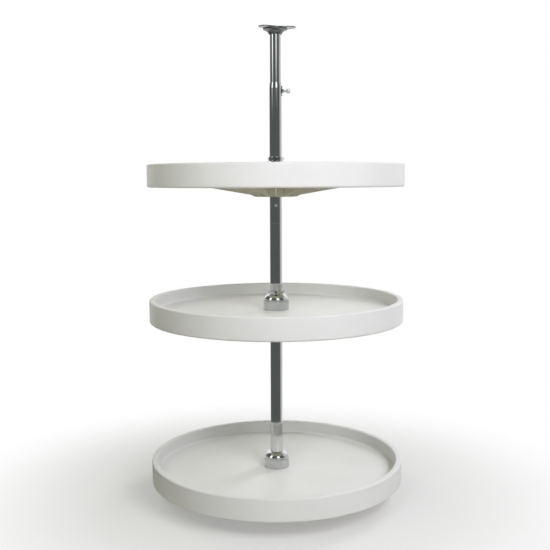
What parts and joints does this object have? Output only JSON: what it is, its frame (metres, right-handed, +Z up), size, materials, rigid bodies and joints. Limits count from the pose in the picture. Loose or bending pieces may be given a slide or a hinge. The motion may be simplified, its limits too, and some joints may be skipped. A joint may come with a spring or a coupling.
{
  "type": "three-tray rotating pantry shelf set",
  "caption": "Full-circle trays that turn on a chrome telescoping post, fixed between a cabinet's floor and ceiling.",
  "frame": {"origin": "centre of the floor flange's underside, on the post's axis", "axes": "+Z up along the post, -Y the front, +X the side of the lock screw"},
  "size_m": [0.508, 0.508, 0.9365],
  "materials": {
    "polymer": "satin moulded, off-white",
    "chrome": "polished",
    "chrome_hub": "polished dome, knurled ring",
    "bright_screw": "bright nickel",
    "zinc": "zinc plated",
    "spring_steel": "bare spring steel",
    "dark_plate": "dark plated steel",
    "black_screw": "black oxide",
    "nylon": "natural nylon"
  },
  "bodies": {
    "post": {"floor_flange": "zinc", "floor_thrust_washer": "nylon", "lower_post_tube": "chrome", "upper_post_tube": "chrome", "joint_spigot": "zinc", "spigot_pin": "zinc", "snap_spring": "spring_steel", "flange_grub_screw": "black_screw", "lock_nut_boss": "chrome"},
    "bottom_turntable": {"bottom_tray": "polymer", "bottom_bush": "nylon", "bottom_hub": "chrome_hub", "bottom_hub_screws": "black_screw"},
    "middle_carrier": {"middle_sleeve": "chrome", "middle_set_screws": "black_screw", "middle_thrust_washer": "nylon"},
    "middle_turntable": {"middle_tray": "polymer", "middle_bush": "nylon", "middle_hub": "chrome_hub", "middle_hub_screws": "black_screw"},
    "top_carrier": {"top_sleeve": "chrome", "top_set_screws": "black_screw", "top_thrust_washer": "nylon"},
    "top_turntable": {"top_tray": "polymer", "top_bush": "nylon", "top_hub": "chrome_hub", "top_hub_screws": "black_screw"},
    "ceiling_extension": {"inner_tube": "chrome", "tube_plug": "zinc", "ceiling_plate": "dark_plate"},
    "lock_tip": {"lock_pad": "nylon"},
    "thumb_screw": {"lock_screw": "bright_screw"},
    "button": {"snap_button": "bright_screw"}
  },
  "joints": [
    {"name": "bottom_tray_spin", "type": "hinge", "parent": "post", "child": "bottom_turntable", "pos_m": [0, 0, 0.016], "axis": [0, 0, 1], "continuous": true},
    {"name": "middle_height", "type": "slide", "parent": "post", "child": "middle_carrier", "axis": [0, 0, 1], "range_m": [-0.15, 0.1]},
    {"name": "middle_tray_spin", "type": "hinge", "parent": "middle_carrier", "child": "middle_turntable", "pos_m": [0, 0, 0.3418], "axis": [0, 0, 1], "continuous": true},
    {"name": "top_height", "type": "slide", "parent": "post", "child": "top_carrier", "axis": [0, 0, 1], "range_m": [-0.01, 0.09]},
    {"name": "top_tray_spin", "type": "hinge", "parent": "top_carrier", "child": "top_turntable", "pos_m": [0, 0, 0.6079], "axis": [0, 0, 1], "continuous": true},
    {"name": "telescope", "type": "slide", "parent": "post", "child": "ceiling_extension", "axis": [0, 0, 1], "range_m": [-0.08, 0.05]},
    {"name": "lock_tip_travel", "type": "slide", "parent": "post", "child": "lock_tip", "axis": [1, 0, 0], "range_m": [0, 0.002]},
    {"name": "lock_screw_turn", "type": "hinge", "parent": "lock_tip", "child": "thumb_screw", "pos_m": [0.0127, 0, 0.8147], "axis": [1, 0, 0], "range_deg": [0, 720.5]},
    {"name": "snap_button_press", "type": "slide", "parent": "post", "child": "button", "axis": [0, 1, 0], "range_m": [0, 0.003], "stiffness_N_per_m": 1500, "springref_m": -0.002, "deforming": ["snap_spring"]}
  ],
  "couplings": [
    {"joint": "lock_screw_turn", "follows": "lock_tip_travel", "rad_per_m": 6283.2}
  ]
}
